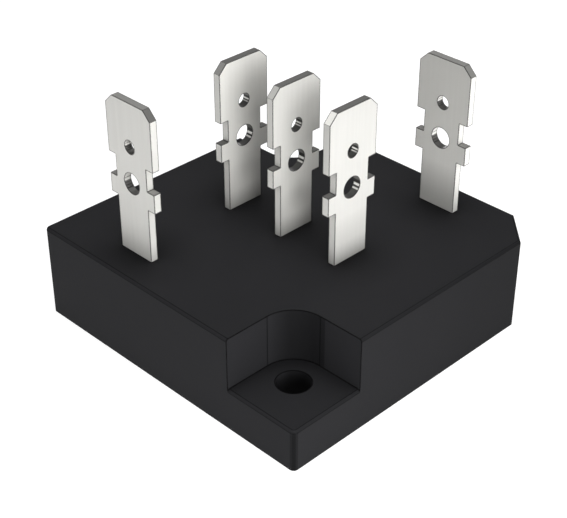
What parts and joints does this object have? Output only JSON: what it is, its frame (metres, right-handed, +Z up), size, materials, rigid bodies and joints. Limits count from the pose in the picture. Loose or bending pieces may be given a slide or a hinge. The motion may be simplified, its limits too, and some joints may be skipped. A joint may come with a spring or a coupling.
{
  "type": "three-phase bridge rectifier",
  "caption": "Square black power module with flat push-on tabs on top and a screw pocket in each of two opposite corners.",
  "frame": {"origin": "middle of the square base, in the plane that meets the heat sink", "axes": "+Z up out of the top, along the tabs; +X along the row of alternating-current tabs; the screw corners are (+X, -Y) and (-X, +Y), the chamfered corner is (+X, +Y)"},
  "size_m": [0.035, 0.035, 0.0263],
  "materials": {
    "housing_plastic": "moulded near-black thermoset, matt, with crisp edges",
    "plated_terminal": "stamped sheet metal, satin tin or nickel plating",
    "alumina_ceramic": "fired white alumina, matt",
    "bare_copper": "bonded copper, satin, slightly dulled",
    "solder": "soft solder, dull silver",
    "silicon_die": "diced silicon with a metallised face",
    "silicone_gel": "soft clear silicone gel",
    "seal_adhesive": "cured silicone adhesive, pale grey"
  },
  "bodies": {
    "root": {"base_copper": "bare_copper", "ceramic_substrate": "alumina_ceramic", "clip_lower_1": "bare_copper", "clip_lower_2": "bare_copper", "clip_lower_3": "bare_copper", "clip_solder": "solder", "clip_upper_1": "bare_copper", "clip_upper_2": "bare_copper", "clip_upper_3": "bare_copper", "copper_field_ac_1": "bare_copper", "copper_field_ac_2": "bare_copper", "copper_field_ac_3": "bare_copper", "copper_field_minus": "bare_copper", "copper_field_plus": "bare_copper", "die_solder": "solder", "diode_die_lower_1": "silicon_die", "diode_die_lower_2": "silicon_die", "diode_die_lower_3": "silicon_die", "diode_die_upper_1": "silicon_die", "diode_die_upper_2": "silicon_die", "diode_die_upper_3": "silicon_die", "filling_gel": "silicone_gel", "housing": "housing_plastic", "rim_adhesive": "seal_adhesive", "terminal_ac_1": "plated_terminal", "terminal_ac_2": "plated_terminal", "terminal_ac_3": "plated_terminal", "terminal_minus": "plated_terminal", "terminal_plus": "plated_terminal", "terminal_solder": "solder"}
  },
  "joints": []
}
